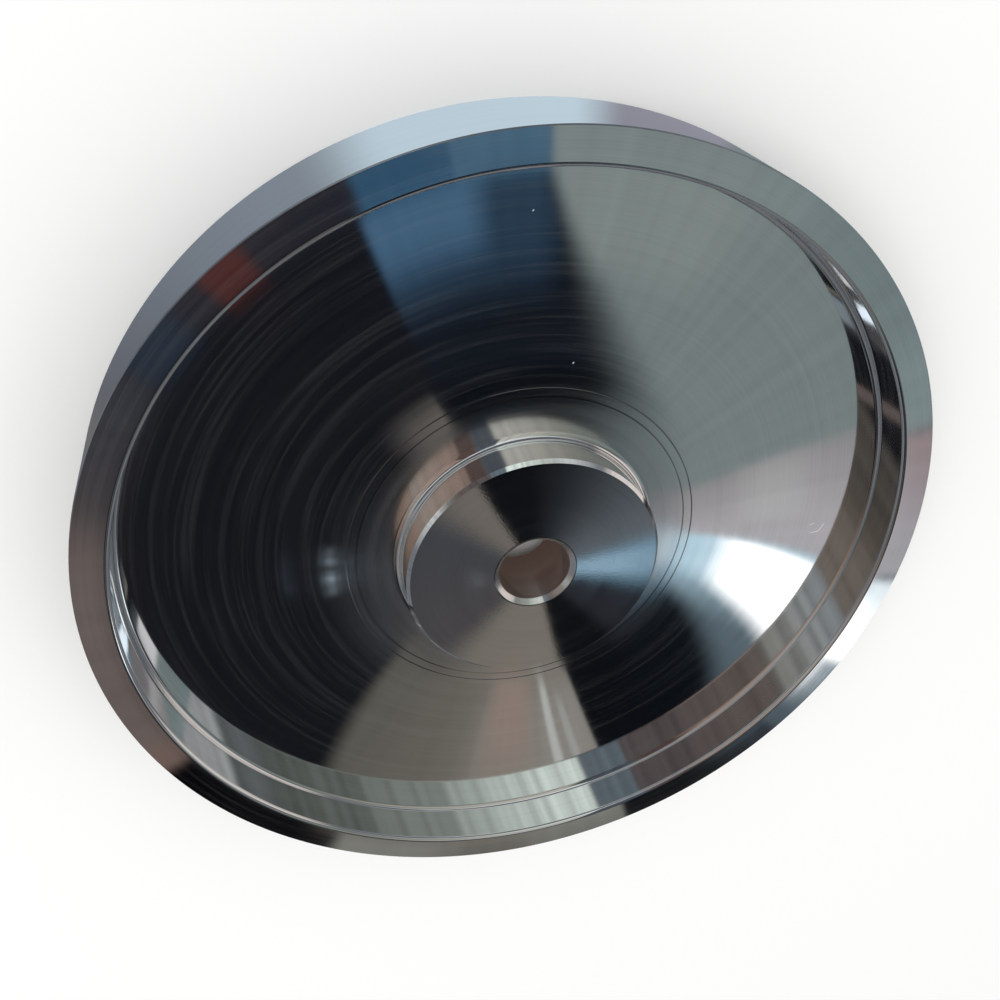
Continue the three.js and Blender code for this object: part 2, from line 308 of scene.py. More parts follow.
WEB_ROOM = ((17, 19, 24), [
    card(12, 120, (113, 124, 124), (110, 119, 119), soft=(4, 4), side=-1),
    card(58, 90, (121, 131, 130), soft=(10, 10), inner=(0.7, 0.15), side=-1),
    card(25, 113.5, (15, 20, 28), soft=(12, 1.4), swing=(0, -4), side=1),
    card(86, 113.5, (36, 55, 74), soft=(8, 1.4), swing=(0, -4), inner=(0.68, 0.16), side=1),
    card(97, 113.0, (64, 95, 122), soft=(5, 1.4), swing=(0, -4), inner=(0.76, 0.12), side=1),
    card(113.5, 128, (16, 18, 24), soft=(1.4, 6)),
    card(150, 236, (24, 26, 31), (52, 54, 58), soft=(16, 14), outer=(0.46, 0.10)),
    card(66, 113, (2, 4, 8), soft=(12, 2), outer=(0.47, 0.08)),
    card(115.5, 131, (110, 106, 100), (88, 84, 82), soft=(1.4, 12), outer=(0.45, 0.10)),
    card(225, 286, (87, 85, 79), (118, 113, 107), soft=(6, 1.2), swing=(24, 3)),
    card(258, 286, (122, 117, 110), (130, 127, 122), soft=(9, 1.2), swing=(0, 3), inner=(0.5, 0.2)),
    card(261, 272, (134, 120, 112), soft=(5, 6), inner=(0.36, 0.06), outer=(0.74, 0.3)),
    card(276.3, 278.2, (172, 174, 171), soft=(1, 1), swing=(5, 5), inner=(0.46, 0.1), outer=(0.93, 0.1)),
    card(280.3, 282, (150, 150, 146), soft=(1, 1), swing=(5, 5), inner=(0.55, 0.1), outer=(0.93, 0.1)),
    card(287, 325, (6, 9, 14), (8, 12, 18), soft=(1.2, 10), swing=(2, -35)),
    card(325, 346, (82, 96, 105), (156, 184, 198), soft=(9, 7), swing=(-48, -30)),
    card(338, 357, (172, 202, 218), soft=(9, 8), swing=(-20, -12)),
    card(336, 351.5, WHITE, soft=(8, 3.5), swing=(-33, -25), inner=(0.545, 0.10), gain=1.6),
    card(352, 374, (164, 162, 166), (138, 136, 138), soft=(3.5, 5), swing=(-20, 0)),
    card(358, 374, (170, 169, 171), (152, 151, 152), soft=(6, 6), inner=(0.56, 0.10), outer=(0.74, 0.16)),
    card(172, 186, (205, 226, 240), soft=(7, 7), inner=(0.457, 0.01), outer=(0.472, 0.01), grain=220),
    card(173, 185, (84, 98, 112), soft=(7, 7), inner=(0.560, 0.01), outer=(0.572, 0.01), grain=220),
    card(172, 186, (76, 90, 104), soft=(8, 8), inner=(0.395, 0.02), outer=(0.42, 0.02), grain=220),
])
RIM_ROOM = ((33, 34, 42), [
    card(15, 90, (118, 132, 134), (117, 127, 127), soft=(4, 1.6)),
    card(30, 56, (108, 121, 123), soft=(10, 10)),
    card(89.5, 101, (64, 95, 118), soft=(1.6, 1.4)),
    card(100.5, 111, (44, 76, 102), soft=(1.4, 1.6)),
    card(124, 129.5, (70, 37, 36), soft=(2, 2)),
    card(134, 142, (32, 42, 55), soft=(3, 3)),
    card(143, 206, (47, 50, 56), (110, 92, 86), soft=(5, 3)),
    card(165, 200, (100, 90, 87), soft=(14, 6)),
    card(205.5, 235.5, (1, 1, 3), soft=(3, 3)),
    card(236.5, 287, (124, 124, 118), (112, 113, 108), soft=(3, 1.4)),
    card(256, 270, (98, 96, 90), soft=(10, 8)),
    card(287.2, 313, (3, 4, 7), soft=(1.4, 4)),
    card(311, 317, (32, 34, 43), soft=(4, 2)),
    card(316, 332, (70, 80, 88), (110, 130, 142), soft=(2, 2)),
    card(331.5, 348, WHITE, (214, 224, 229), soft=(2.5, 2.5), gain=1.3),
    card(349, 375, (160, 160, 166), (142, 127, 130), soft=(2, 3)),
])
BOSS_ROOM = ((9, 11, 16), [
    card(117.3, 282.3, (104, 99, 94), (114, 109, 102), soft=(1.6, 3)),
    card(138, 228, (62, 64, 69), (68, 66, 68), soft=(22, 22)),
    card(0, 88, (90, 97, 103), (22, 25, 29), soft=(8, 14)),
    card(312, 342, (34, 36, 42), soft=(10, 8)),
    card(342, 372, (84, 112, 130), (96, 118, 134), soft=(12, 10)),
    card(350, 367, (104, 134, 154), soft=(9, 8)),
    card(348, 366, (176, 206, 226), soft=(9, 8), outer=(0.27, 0.20), grain=150),
    card(170, 188, (118, 121, 125), soft=(6, 6), inner=(0.125, 0.01), outer=(0.15, 0.01), grain=220),
])
# seen in the outside of the boss
NEAR_ROOM = ((96, 88, 84), [
    card(26, 72, (104, 108, 104), (116, 120, 115), soft=(8, 8)),
    card(70, 103, (134, 134, 127), (174, 173, 166), soft=(8, 1.5)),
    card(103, 112, (70, 76, 84), soft=(1.5, 2)),
    card(112, 119.5, (80, 66, 62), soft=(2, 2)),
    card(119.5, 150, (140, 121, 112), (150, 138, 130), soft=(2, 3)),
    card(150, 168, (138, 118, 106), (116, 98, 88), soft=(3, 6)),
    card(168, 205, (86, 72, 65), soft=(6, 6)),
])
# seen in the inside of the rim
FAR_ROOM = ((66, 68, 68), [
    card(8, 33, (134, 134, 138), (156, 159, 160), soft=(6, 4)),
    card(33, 42, (92, 97, 99), soft=(4, 4)),
    card(42, 60, (82, 88, 85), (94, 100, 97), soft=(4, 6)),
    card(60, 80, (112, 118, 114), (134, 141, 137), soft=(5, 4)),
    card(79, 103, (166, 175, 170), (212, 223, 218), soft=(6, 1.5)),
    card(103, 111, (92, 104, 112), soft=(1.5, 1.5)),
    card(111, 143, (82, 75, 77), (92, 84, 80), soft=(2, 3)),
    card(143, 161, (132, 132, 128), (138, 144, 148), soft=(3, 3)),
    card(161, 180, (112, 103, 97), (80, 74, 68), soft=(3, 5)),
    card(178, 193, (72, 68, 64), soft=(5, 3)),
    card(192, 222, (24, 25, 29), soft=(4, 5)),
])
# laid over the other rooms for rays that are mirrored twice, in a wall and in the web
STRIP_CARDS = [
    card(-20, 20, (70, 72, 72), soft=(8, 12), outer=(0.17, 0.04)),
    card(168, 206, (122, 132, 140), soft=(5, 6), inner=(0.12, 0.04), outer=(0.36, 0.08)),
    card(222, 342, (214, 228, 240), soft=(12, 12), inner=(0.045, 0.02), outer=(0.15, 0.03), gain=1.4),
    card(348, 368, (112, 110, 112), soft=(6, 6), inner=(0.17, 0.04), outer=(0.60, 0.10)),
    card(14, 36, (190, 190, 192), soft=(6, 4), inner=(0.24, 0.06), outer=(0.60, 0.08), gain=1.2),
]
# seen in the outer wall, which mirrors what lies low round the wheel; painted reflections that the floor
# gives off as a glow to mirrored rays only
LOW_ROOM = ((106, 105, 102), [
    card(12, 62, (108, 122, 125), soft=(8, 6)),
    card(62, 82, (132, 133, 144), soft=(5, 5)),
    card(80, 114, (180, 198, 210), soft=(7, 14)),
    card(112, 158, (122, 132, 143), (88, 90, 97), soft=(16, 6)),
    card(155, 205, (98, 96, 97), (94, 85, 83), soft=(6, 8)),
    card(240, 285, (130, 133, 128), soft=(12, 6)),
    card(285, 320, (80, 76, 78), soft=(5, 8)),
])
# painted shade: a dark floor tone under the bore, which the bore's walls mirror, since the floor's glow for
# mirrored rays has no shadow
SHADE_UNDER_BORE = (78, 62, 56)


def room_color(t, room, x, y, side=None):
    """Paints the cards of one room over each other at plane position x, y."""
    radius = t.length(x, y)
    angle = t.math("MULTIPLY", t.math("ARCTAN2", y, x), 360 / TAU)
    base, cards = room
    color = base if isinstance(base, bpy.types.NodeSocket) else srgb(*base, gain=1 / METAL_F0)
    outward = t.math("SUBTRACT", radius, SWING_FROM)
    for c in cards:
        middle = 0.5 * (c["left"] + c["right"])
        half = 0.5 * (c["right"] - c["left"])
        turn = t.math("WRAP", t.math("SUBTRACT", angle, middle), 180.0, -180.0)
        from_left = t.math("SUBTRACT", turn, t.math("MULTIPLY", outward, c["swing"][0]))
        from_right = t.math("SUBTRACT", turn, t.math("MULTIPLY", outward, c["swing"][1]))
        mask = t.math("MULTIPLY",
                      t.smooth(from_left, -half - c["soft"][0] / 2, -half + c["soft"][0] / 2),
                      t.smooth(from_right, half + c["soft"][1] / 2, half - c["soft"][1] / 2))
        if c["inner"]:
            at, soft = c["inner"]
            mask = t.math("MULTIPLY", mask, t.smooth(radius, at - soft / 2, at + soft / 2))
        if c["outer"]:
            at, soft = c["outer"]
            mask = t.math("MULTIPLY", mask, t.smooth(radius, at + soft / 2, at - soft / 2))
        if c["side"] and side is not None:
            beyond = side if c["side"] > 0 else t.math("SUBTRACT", 1.0, side)
            mask = t.math("MULTIPLY", mask, beyond)
        if c["grain"]:
            along = t.node("ShaderNodeCombineXYZ")
            t.put(t.math("MULTIPLY", radius, c["grain"]), along.inputs[0])
            t.put(t.math("MULTIPLY", angle, GRAINS_TO_A_DEGREE), along.inputs[1])
            grains = t.noise(along.outputs[0], 1.0, 1.0)
            mask = t.math("MULTIPLY", mask, t.smooth(grains, *GRAIN_CONTRAST))
        gain = c["gain"] / METAL_F0
        across = t.smooth(turn, -half, half)
        painted = t.mix(across, srgb(*c["a"], gain=gain), srgb(*c["b"], gain=gain))
        color = t.mix(mask, color, painted)
    return color, radius


def seen_from(t, x, y, height):
    """Undoes the shift between the web's plane and a face at this height."""
    k = plane_scale(height)
    px = t.math("DIVIDE", t.math("ADD", x, (k - 1) * MIRROR_X), k)
    py = t.math("DIVIDE", t.math("ADD", y, (k - 1) * MIRROR_Y), k)
    return px, py


# how far out the room seen in the boss's outside reaches on the camera's side, and past that
NEAR_REACH = 2.73
NEAR_MARGIN = 0.6
NEAR_SOFT = 0.2
# where one room gives way to the next, in wheel radii, as (first, second) of a soft step
BOSS_EDGE = (0.345, 0.305)
RIM_EDGE = (0.916, 0.932)
WALLS_EDGE = (1.02, 1.08)
STREAKS_TO_A_RADIAN = 24
SOFT_STREAKS = 0.35
HARD_STREAKS = 1.6
SKYLINE_STREAKS = 1.2
# heights on the sky, as the sine of the elevation
HORIZON = 0.02
SKYLINE_TOP = (0.54, 0.44)
WINDOW_SILL = (0.26, 0.36)
# share of a direction that points towards the camera, and to the right
TOWARDS_CAMERA = (0.30, 0.95)
TO_THE_RIGHT = (0.88, 0.96)
SKYLINE = (226, 229, 229)    # bright windows low on the camera's side of the room
LOW_SKYLINE = (92, 98, 106)
FAR_SKYLINE = (116, 121, 128)
RIGHT_SKYLINE = (214, 206, 202)
RIGHT_GAIN = 1.2
PALE = (236, 236, 234)
SKY_FOR_FLOOR = 0.86        # plain sky that lights the floor and everything dull
SECOND_MIRRORING = 1.5      # between one and two mirrorings of a ray


def add_world():
    world = bpy.data.worlds.new("studio")
    bpy.context.scene.world = world
    world.use_nodes = True
    world.node_tree.nodes.clear()
    t = Tree(world.node_tree)
    out = t.node("ShaderNodeOutputWorld")
    coords = t.node("ShaderNodeTexCoord")
    split = t.node("ShaderNodeSeparateXYZ")
    t.put(coords.outputs["Generated"], split.inputs[0])
    lift = t.math("ABSOLUTE", split.outputs["Z"])
    rise = t.math("MAXIMUM", lift, HORIZON)
    reach = t.math("DIVIDE", MIRROR_H, rise)
    x = t.math("MULTIPLY_ADD", split.outputs["X"], reach, MIRROR_X)
    y = t.math("MULTIPLY_ADD", split.outputs["Y"], reach, MIRROR_Y)

    length = math.hypot(*CORNER_ALONG)
    across = (CORNER_ALONG[1] / length, -CORNER_ALONG[0] / length)
    offset = -(CORNER_AT[0] * across[0] + CORNER_AT[1] * across[1])
    radius = t.length(x, y)
    slant = t.math("ADD", t.math("MULTIPLY", x, across[0]), t.math("MULTIPLY", y, across[1]))
    stretch = t.math("DIVIDE", t.math("MAXIMUM", radius, CORNER_REACH), radius)
    slant = t.math("MULTIPLY", slant, stretch)
    inwards = t.math("SUBTRACT", CORNER_SHARP_AT, radius)
    blur = t.math("MAXIMUM", t.math("MULTIPLY_ADD", inwards, CORNER_SPREAD, CORNER_SOFT), CORNER_SOFT)
    side = t.smooth(t.math("DIVIDE", t.math("ADD", slant, offset), blur), -1.0, 1.0)

    web, _ = room_color(t, WEB_ROOM, x, y, side)
    rim_x, rim_y = seen_from(t, x, y, WHEEL_H)
    rim, rim_radius = room_color(t, RIM_ROOM, rim_x, rim_y)
    boss, boss_radius = room_color(t, BOSS_ROOM, *seen_from(t, x, y, BOSS_TOP))
    near, _ = room_color(t, NEAR_ROOM, x, y)
    far, _ = room_color(t, FAR_ROOM, x, y)
    camera_reach = math.hypot(MIRROR_X, MIRROR_Y)
    facing = t.math("ADD", t.math("MULTIPLY", x, MIRROR_X / camera_reach),
                    t.math("MULTIPLY", y, MIRROR_Y / camera_reach))
    reaches = t.math("DIVIDE", t.math("MULTIPLY", facing, NEAR_REACH), radius)
    excess = t.math("SUBTRACT", radius, reaches)
    far = t.mix(t.smooth(excess, NEAR_MARGIN + NEAR_SOFT, NEAR_MARGIN - NEAR_SOFT), far, near)

    ring = t.node("ShaderNodeCombineXYZ")
    t.put(t.math("DIVIDE", t.math("MULTIPLY", x, STREAKS_TO_A_RADIAN), radius), ring.inputs[0])
    t.put(t.math("DIVIDE", t.math("MULTIPLY", y, STREAKS_TO_A_RADIAN), radius), ring.inputs[1])
    streaks = t.math("SUBTRACT", t.noise(ring.outputs[0], 1.0, 3.0, 0.6), 0.5)
    soft_streaks = t.math("MULTIPLY_ADD", streaks, SOFT_STREAKS, 1.0)
    hard_streaks = t.math("MULTIPLY_ADD", streaks, HARD_STREAKS, 1.0)

    color = t.mix(t.smooth(boss_radius, *BOSS_EDGE), t.tint(web, soft_streaks), boss)
    color = t.mix(t.smooth(rim_radius, *RIM_EDGE), color, t.tint(rim, soft_streaks))
    color = t.mix(t.smooth(rim_radius, *WALLS_EDGE), color, t.tint(far, hard_streaks))
    towards = t.math("DIVIDE", facing, radius)
    windows = t.mix(t.smooth(lift, *WINDOW_SILL), srgb(*LOW_SKYLINE), srgb(*SKYLINE))
    skyline = t.mix(t.smooth(towards, *TOWARDS_CAMERA), srgb(*FAR_SKYLINE), windows)
    level = t.math("SQRT", t.math("SUBTRACT", 1.0, t.math("MULTIPLY", lift, lift)))
    rightwards = t.math("DIVIDE", split.outputs["X"], level)
    skyline = t.mix(t.smooth(rightwards, *TO_THE_RIGHT), skyline, srgb(*RIGHT_SKYLINE, gain=RIGHT_GAIN))
    skyline = t.tint(skyline, t.math("MULTIPLY_ADD", streaks, SKYLINE_STREAKS, 1.0, clamp=True))
    color = t.mix(t.smooth(lift, *SKYLINE_TOP), color, skyline)

    path = t.node("ShaderNodeLightPath")
    strip, _ = room_color(t, (color, STRIP_CARDS), x, y)
    color = t.mix(t.math("GREATER_THAN", path.outputs["Glossy Depth"], SECOND_MIRRORING), color, strip)

    room = t.node("ShaderNodeBackground")
    t.put(color, room.inputs["Color"])
    plain = t.node("ShaderNodeBackground")
    plain.inputs["Color"].default_value = srgb(*PALE)
    soft = t.node("ShaderNodeBackground")
    soft.inputs["Color"].default_value = (SKY_FOR_FLOOR,) * 3 + (1.0,)
    diffuse = t.node("ShaderNodeMixShader")
    t.put(path.outputs["Is Diffuse Ray"], diffuse.inputs["Fac"])
    t.put(plain.outputs[0], diffuse.inputs[1])
    t.put(soft.outputs[0], diffuse.inputs[2])
    glossy = t.node("ShaderNodeMixShader")
    t.put(path.outputs["Is Glossy Ray"], glossy.inputs["Fac"])
    t.put(diffuse.outputs[0], glossy.inputs[1])
    t.put(room.outputs[0], glossy.inputs[2])
    t.put(glossy.outputs[0], out.inputs["Surface"])


FLOOR_HALF = 6.0
FLOOR_DROP = 0.0002         # keeps the floor clear of the working face
FLOOR_PAINT = (0.93, 0.93, 0.92, 1)
# mirrored rays see the floor glow with the painted room's cards outside the wheel and with one painted
# shade under the bore, and pass through it in between, so that the working face mirrors the room as well
BORE_SPOT = (0.012, 0.011)
CLEAR_INSIDE = (0.0118, 0.0122)
CLEAR_OUTSIDE = (0.0998, 0.0997)


def add_floor():
    bm = bmesh.new()
    bmesh.ops.create_grid(bm, x_segments=1, y_segments=1, size=FLOOR_HALF)
    mesh = bpy.data.meshes.new("floor")
    bm.to_mesh(mesh)
    bm.free()
    floor = bpy.data.objects.new("floor", mesh)
    floor.location.z = -FLOOR_DROP
    bpy.context.scene.collection.objects.link(floor)
    material = bpy.data.materials.new("floor_pale")
    material.use_nodes = True
    material.node_tree.nodes.clear()
    t = Tree(material.node_tree)
    out = t.node("ShaderNodeOutputMaterial")
    paint = t.node("ShaderNodeBsdfDiffuse")
    paint.inputs["Color"].default_value = FLOOR_PAINT
    coords = t.node("ShaderNodeTexCoord")
    split = t.node("ShaderNodeSeparateXYZ")
    t.put(coords.outputs["Object"], split.inputs[0])
    # painted reflections: for mirrored rays the floor glows with the room's tones, while the camera and
    # dull surfaces see it pale
    color, reach = room_color(t, LOW_ROOM, split.outputs["X"], split.outputs["Y"])
    # painted shade under the bore, seen in the mirrored bore walls
    color = t.mix(t.smooth(reach, *BORE_SPOT), color, srgb(*SHADE_UNDER_BORE))
    mirrored = t.node("ShaderNodeEmission")
    t.put(color, mirrored.inputs["Color"])
    path = t.node("ShaderNodeLightPath")
    top = t.node("ShaderNodeMixShader")
    t.put(path.outputs["Is Glossy Ray"], top.inputs["Fac"])
    t.put(paint.outputs[0], top.inputs[1])
    t.put(mirrored.outputs[0], top.inputs[2])
    clear = t.node("ShaderNodeBsdfTransparent")
    geometry = t.node("ShaderNodeNewGeometry")
    under = t.math("MULTIPLY", t.smooth(reach, *CLEAR_OUTSIDE), t.smooth(reach, *CLEAR_INSIDE))
    under = t.math("MULTIPLY", under, path.outputs["Is Glossy Ray"])
    both = t.node("ShaderNodeMixShader")
    t.put(t.math("MAXIMUM", geometry.outputs["Backfacing"], under), both.inputs["Fac"])
    t.put(top.outputs[0], both.inputs[1])
    t.put(clear.outputs[0], both.inputs[2])
    t.put(both.outputs[0], out.inputs["Surface"])
    mesh.materials.append(material)


def add_light(name, location, size, power):
    data = bpy.data.lights.new(name, "AREA")
    data.energy = power
    data.size = size
    lamp = bpy.data.objects.new(name, data)
    lamp.location = location
    lamp.rotation_euler = (-Vector(location)).to_track_quat("-Z", "Y").to_euler()
    lamp.visible_glossy = False
    bpy.context.scene.collection.objects.link(lamp)


# ---------------------------------------------------------------- materials
TO_MM = 1000.0
# noises: how many waves to a millimetre or a metre, and how much they change the metal
FINE_TO_A_MM = 3.1          # tool rings, across the radius and the height
BROAD_TO_A_MM = 0.33
WAVES_TO_A_MM = 1.1
RING_DRIFT = 0.35           # how far the rings change on the way round
CLOUDS_TO_A_METRE = 38.0
WANDER_TO_A_METRE = 26.0
GRIT_TO_A_METRE = 2400.0
FINE_SHADE, BROAD_SHADE, CLOUD_SHADE = 0.16, 0.10, 0.05
FINE_ROUGHNESS, BROAD_ROUGHNESS, CLOUD_ROUGHNESS = 0.04, 0.05, 0.02
BUMP_DISTANCE = 0.000001
BANDS_TO_A_METRE = 620
BAND_CONTRAST = (0.46, 0.76)
BAND_HAZE = 0.036
BANDS_OFF_BOSS = -0.8       # the bands are mostly absent on the boss
HAZE_CONTRAST = (0.40, 0.72)
HAZE_ROUGHNESS = 0.5
HAZE_ANISOTROPY = 0.6
ACROSS_RINGS = 0.25         # quarter turn from the tangent: the blur runs across the tool rings
WEB_TOLERANCE = 0.00005     # in metres, like BOSS_SOFT
BOSS_SOFT = 0.0002
# handling marks on the web, from x, y to x, y in mm
SCRATCHES = (((77.1, -9.0), (79.4, -8.8)), ((79.4, -8.8), (80.7, -6.7)), ((76.6, -6.4), (77.6, -6.0)),
             ((0.4, 81.4), (0.6, 81.6)), ((10.0, 47.6), (10.2, 47.8)))
SCRATCH_HALF_W = 0.16
SCRIBE_HALF_W = 0.28
SCRIBE_DEPTH = 0.75
SCRIBE_GAPS = (0.30, 0.60)   # where the scribed circles fade out
SCRATCH_TONE = (0.7, 0.72, 0.74, 1)
DULL_FROM = 34              # the web is duller close round the boss, fading out by DULL_TO, mm
DULL_TO = 46
DULL_ROUGHNESS = 0.085
GRIT_R = 0.0302             # the boss's face, in metres, is ground dull and sparkles
GRIT_Z = 0.021
GRIT_RELIEF = 1.8
WAVE_RELIEF = 0.9


def near_segment(t, x, y, start, end):
    """Distance from x, y to a straight mark, all in mm."""
    along = (end[0] - start[0], end[1] - start[1])
    length2 = along[0] ** 2 + along[1] ** 2
    dx, dy = t.math("SUBTRACT", x, start[0]), t.math("SUBTRACT", y, start[1])
    run = t.math("ADD", t.math("MULTIPLY", dx, along[0] / length2),
                 t.math("MULTIPLY", dy, along[1] / length2), clamp=True)
    dx = t.math("MULTIPLY_ADD", run, -along[0], dx)
    dy = t.math("MULTIPLY_ADD", run, -along[1], dy)
    return t.length(dx, dy)


def turned_metal(name, color, roughness, haze=0.002, rings=1.0, anisotropy=0.9):
    """Metal turned on a lathe: fine rings about Z that stretch reflections across them.

    haze is the share of dull metal, rings the strength of the tool rings. Handling marks and the
    duller web round the hub come only with full-strength rings.
    """
    material = bpy.data.materials.new(name)
    material.use_nodes = True
    material.node_tree.nodes.clear()
    t = Tree(material.node_tree)
    out = t.node("ShaderNodeOutputMaterial")
    coords = t.node("ShaderNodeTexCoord")
    split = t.node("ShaderNodeSeparateXYZ")
    t.put(coords.outputs["Object"], split.inputs[0])
    x, y, z = split.outputs
    radius = t.length(x, y)
    along = t.node("ShaderNodeCombineXYZ")
    t.put(t.math("MULTIPLY", radius, TO_MM), along.inputs[0])
    t.put(t.math("MULTIPLY", z, TO_MM), along.inputs[1])
    drift = t.math("MULTIPLY", t.math("SINE", t.math("ARCTAN2", y, x)), RING_DRIFT)
    fine = t.noise(along.outputs[0], FINE_TO_A_MM, 3.0, 0.6, w=drift)
    broad = t.noise(along.outputs[0], BROAD_TO_A_MM, 2.0, 0.5, w=drift)
    cloud = t.noise(coords.outputs["Object"], CLOUDS_TO_A_METRE, 3.0, 0.55)
    sweep = t.node("ShaderNodeCombineXYZ")
    t.put(t.math("MULTIPLY", radius, BANDS_TO_A_METRE), sweep.inputs[0])
    t.put(t.math("DIVIDE", x, radius), sweep.inputs[1])
    t.put(t.math("DIVIDE", y, radius), sweep.inputs[2])
    bands = t.smooth(t.noise(sweep.outputs[0], 1.0, 4.0, 0.65), *BAND_CONTRAST)

    wander = t.noise(coords.outputs["Object"], WANDER_TO_A_METRE, 2.0)
    off_web = t.math("ABSOLUTE", t.math("SUBTRACT", z, WEB_TOP * MM))
    on_web = t.math("LESS_THAN", off_web, WEB_TOLERANCE)
    shade = t.spread(fine, FINE_SHADE * rings, 1.0)
    shade = t.math("MULTIPLY", shade, t.spread(broad, BROAD_SHADE * rings, 1.0))
    shade = t.math("MULTIPLY", shade, t.spread(cloud, CLOUD_SHADE, 1.0))
    for ring in (FLANGE_R, WITNESS_R):
        off = t.math("ABSOLUTE", t.math("SUBTRACT", radius, ring * MM))
        scribed = t.math("MULTIPLY", t.smooth(off, SCRIBE_HALF_W * MM, 0.0), on_web)
        scribed = t.math("MULTIPLY", scribed, t.smooth(wander, *SCRIBE_GAPS))
        shade = t.math("MULTIPLY", shade, t.math("MULTIPLY_ADD", scribed, -SCRIBE_DEPTH, 1.0))
    metal = t.tint(color, shade)

    rough = t.spread(broad, BROAD_ROUGHNESS * rings, roughness)
    rough = t.spread(fine, FINE_ROUGHNESS * rings, rough)
    rough = t.spread(cloud, CLOUD_ROUGHNESS, rough, clamp=True)
    if rings == 1.0:
        around_hub = t.math("MULTIPLY", t.smooth(radius, DULL_TO * MM, DULL_FROM * MM), on_web)
        rough = t.math("MULTIPLY_ADD", around_hub, DULL_ROUGHNESS, rough)

    grit = t.noise(coords.outputs["Object"], GRIT_TO_A_METRE, 2.0)
    on_boss = t.math("MULTIPLY", t.smooth(radius, GRIT_R + BOSS_SOFT, GRIT_R - BOSS_SOFT),
                     t.smooth(z, GRIT_Z - BOSS_SOFT, GRIT_Z + BOSS_SOFT))

    bump = t.node("ShaderNodeBump")
    bump.inputs["Strength"].default_value = 1.0
    bump.inputs["Distance"].default_value = BUMP_DISTANCE
    waves = t.noise(along.outputs[0], WAVES_TO_A_MM, 1.0, 0.5, w=drift)
    waves = t.math("MULTIPLY", t.math("MULTIPLY_ADD", waves, WAVE_RELIEF, broad), rings)
    relief = t.math("MULTIPLY_ADD", t.math("MULTIPLY", grit, on_boss), GRIT_RELIEF, waves)
    t.put(relief, bump.inputs["Height"])
    tangent = t.node("ShaderNodeTangent", direction_type="RADIAL", axis="Z")

    steel = t.node("ShaderNodeBsdfPrincipled")
    t.put(metal, steel.inputs["Base Color"])
    steel.inputs["Metallic"].default_value = 1.0
    t.put(rough, steel.inputs["Roughness"])
    steel.inputs["Anisotropic"].default_value = anisotropy
    steel.inputs["Anisotropic Rotation"].default_value = ACROSS_RINGS
    t.put(tangent.outputs[0], steel.inputs["Tangent"])
    t.put(bump.outputs[0], steel.inputs["Normal"])

    dull = t.node("ShaderNodeBsdfAnisotropic", distribution="GGX")
    t.put(metal, dull.inputs["Color"])
    dull.inputs["Roughness"].default_value = HAZE_ROUGHNESS
    dull.inputs["Anisotropy"].default_value = HAZE_ANISOTROPY
    dull.inputs["Rotation"].default_value = ACROSS_RINGS
    t.put(tangent.outputs[0], dull.inputs["Tangent"])
    amount = t.math("MULTIPLY", t.smooth(fine, *HAZE_CONTRAST), haze * 2.0, clamp=True)
    bands = t.math("MULTIPLY", bands, t.math("MULTIPLY_ADD", on_boss, BANDS_OFF_BOSS, 1.0))
    amount = t.math("MULTIPLY_ADD", bands, BAND_HAZE * rings, amount)
    mixed = t.node("ShaderNodeMixShader")
    t.put(t.math("ADD", amount, haze * 0.5), mixed.inputs["Fac"])
    t.put(steel.outputs[0], mixed.inputs[1])
    t.put(dull.outputs[0], mixed.inputs[2])
    marks = 0.0
    for start, end in SCRATCHES if rings == 1.0 else ():
        off = near_segment(t, t.math("MULTIPLY", x, TO_MM), t.math("MULTIPLY", y, TO_MM), start, end)
        marks = t.math("MAXIMUM", marks, t.smooth(off, SCRATCH_HALF_W, 0.0))
    bare = t.node("ShaderNodeBsdfDiffuse")
    bare.inputs["Color"].default_value = SCRATCH_TONE
    marked = t.node("ShaderNodeMixShader")
    t.put(t.math("MULTIPLY", marks, on_web), marked.inputs["Fac"])
    t.put(mixed.outputs[0], marked.inputs[1])
    t.put(bare.outputs[0], marked.inputs[2])
    t.put(marked.outputs[0], out.inputs["Surface"])
    return material


STEEL = (METAL_F0, METAL_F0, METAL_F0 * 0.995, 1.0)
turned = turned_metal("turned_steel", STEEL, 0.045)
sleeve_metal = turned_metal("reamed_steel", (0.80, 0.79, 0.77, 1), 0.18, haze=0.05)
ground = turned_metal("ground_bearing_steel", (0.70, 0.72, 0.74, 1), 0.16, haze=0.05, rings=0.5)
brass = turned_metal("cage_brass", (0.75, 0.58, 0.28, 1), 0.30, haze=0.2, rings=0.5, anisotropy=0.3)
spring = turned_metal("oiled_spring_steel", (0.16, 0.17, 0.18, 1), 0.38, haze=0.2, rings=0.3,
                      anisotropy=0.2)

# ---------------------------------------------------------------- wheel
rim_outline = (
    [(SEAT_R, 0), (WHEEL_R - RIM_OUTER_CHAMFER, 0), (WHEEL_R, RIM_OUTER_CHAMFER),
     (WHEEL_R, WHEEL_H - RIM_OUTER_CHAMFER), (WHEEL_R - RIM_OUTER_CHAMFER, WHEEL_H)]
    + arc(WALL_R + RIM_INNER_ROUND, WHEEL_H - RIM_INNER_ROUND, RIM_INNER_ROUND, 90, 180)
    + arc(WALL_R - WALL_FILLET, WEB_TOP + WALL_FILLET, WALL_FILLET, 0, -90, lead_out=0)
    + [(WALL_R - WALL_FILLET, SEAT_H), (SEAT_R, SEAT_H)])
place(lathe("rim_ring_turned", rim_outline, WHEEL_STEPS), turned, "turned_steel", "wheel", "rim_ring")

